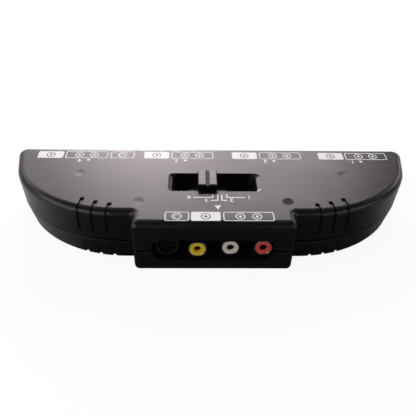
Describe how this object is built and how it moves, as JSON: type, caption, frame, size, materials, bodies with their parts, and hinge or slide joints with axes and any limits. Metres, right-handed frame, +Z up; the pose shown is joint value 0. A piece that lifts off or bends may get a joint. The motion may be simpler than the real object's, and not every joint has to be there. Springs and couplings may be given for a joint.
{
  "type": "audio video selector switch",
  "caption": "Half-moon desktop box with sockets along its straight rear, output sockets in a front box and a sliding selector in a finger well.",
  "frame": {"origin": "middle of the overall plan, on the resting face", "axes": "+Z up, +X to the right as seen from the output side, -Y the output side, +Y the straight edge with the input sockets"},
  "size_m": [0.2039, 0.0652, 0.0314],
  "materials": {
    "housing_plastic": "black moulded plastic, fine satin texture",
    "knob_plastic": "black moulded plastic, semi-gloss",
    "moulded_black": "black moulded plastic, semi-gloss",
    "insert_yellow": "yellow moulded plastic, glossy",
    "insert_white": "warm white moulded plastic, glossy",
    "insert_red": "red moulded plastic, glossy",
    "nickel": "nickel plated, bright",
    "contact_metal": "bright spring brass",
    "board_laminate": "paper laminate with solder side down",
    "sheet_steel": "plated steel",
    "screw_steel": "zinc plated steel"
  },
  "bodies": {
    "housing": {"top_shell": "housing_plastic", "bottom_shell": "housing_plastic", "housing_screws": "screw_steel", "main_board": "board_laminate", "switch_frame": "sheet_steel", "switch_base": "moulded_black", "switch_pads": "contact_metal", "input_1_jack_block": "moulded_black", "input_1_video_insert": "insert_yellow", "input_1_left_insert": "insert_white", "input_1_right_insert": "insert_red", "input_1_sleeves": "nickel", "input_1_contacts": "contact_metal", "input_2_jack_block": "moulded_black", "input_2_video_insert": "insert_yellow", "input_2_left_insert": "insert_white", "input_2_right_insert": "insert_red", "input_2_sleeves": "nickel", "input_2_contacts": "contact_metal", "input_3_jack_block": "moulded_black", "input_3_video_insert": "insert_yellow", "input_3_left_insert": "insert_white", "input_3_right_insert": "insert_red", "input_3_sleeves": "nickel", "input_3_contacts": "contact_metal", "input_4_jack_block": "moulded_black", "input_4_video_insert": "insert_yellow", "input_4_left_insert": "insert_white", "input_4_right_insert": "insert_red", "input_4_sleeves": "nickel", "input_4_contacts": "contact_metal", "output_video_jack_block": "moulded_black", "output_video_insert": "insert_yellow", "output_video_sleeve": "nickel", "output_video_contact": "contact_metal", "output_left_jack_block": "moulded_black", "output_left_insert": "insert_white", "output_left_sleeve": "nickel", "output_left_contact": "contact_metal", "output_right_jack_block": "moulded_black", "output_right_insert": "insert_red", "output_right_sleeve": "nickel", "output_right_contact": "contact_metal", "input_4_round_body": "moulded_black", "input_4_round_shield": "nickel", "input_4_round_contacts": "contact_metal", "output_round_body": "moulded_black", "output_round_shield": "nickel", "output_round_contacts": "contact_metal"},
    "selector": {"selector_knob": "knob_plastic", "switch_slider": "moulded_black", "switch_clips": "contact_metal", "detent_plunger": "sheet_steel", "detent_spring": "sheet_steel"}
  },
  "joints": [
    {"name": "selector_slide", "type": "slide", "parent": "housing", "child": "selector", "axis": [1, 0, 0], "range_m": [0, 0.0069]}
  ]
}
